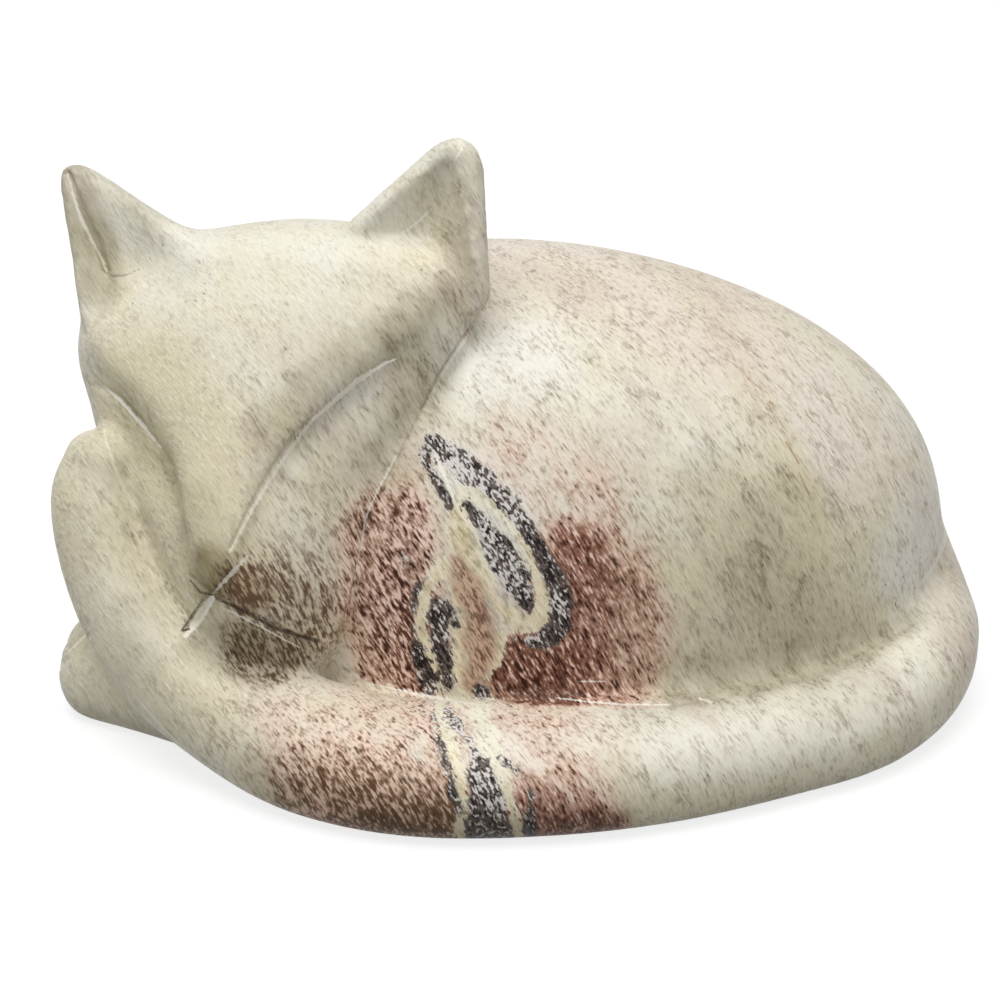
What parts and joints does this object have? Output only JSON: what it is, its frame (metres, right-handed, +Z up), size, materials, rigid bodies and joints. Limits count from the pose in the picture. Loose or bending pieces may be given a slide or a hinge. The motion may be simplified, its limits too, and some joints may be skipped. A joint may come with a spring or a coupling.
{
  "type": "soapstone cat sculpture",
  "caption": "Solid carved stone figure of a cat curled up asleep, its chin on its tail, with upright ears and a flat base; it stands on a shelf or table as an ornament.",
  "frame": {"origin": "middle of the cat's outline seen from above, on the floor that its flat base stands on", "axes": "+Z up, -X towards the head, +X towards the rump, -Y towards the front, where the face looks and the tail lies"},
  "size_m": [0.1528, 0.0954, 0.0986],
  "materials": {
    "soapstone": "polished"
  },
  "bodies": {
    "root": {"stone_cat": "soapstone"}
  },
  "joints": []
}
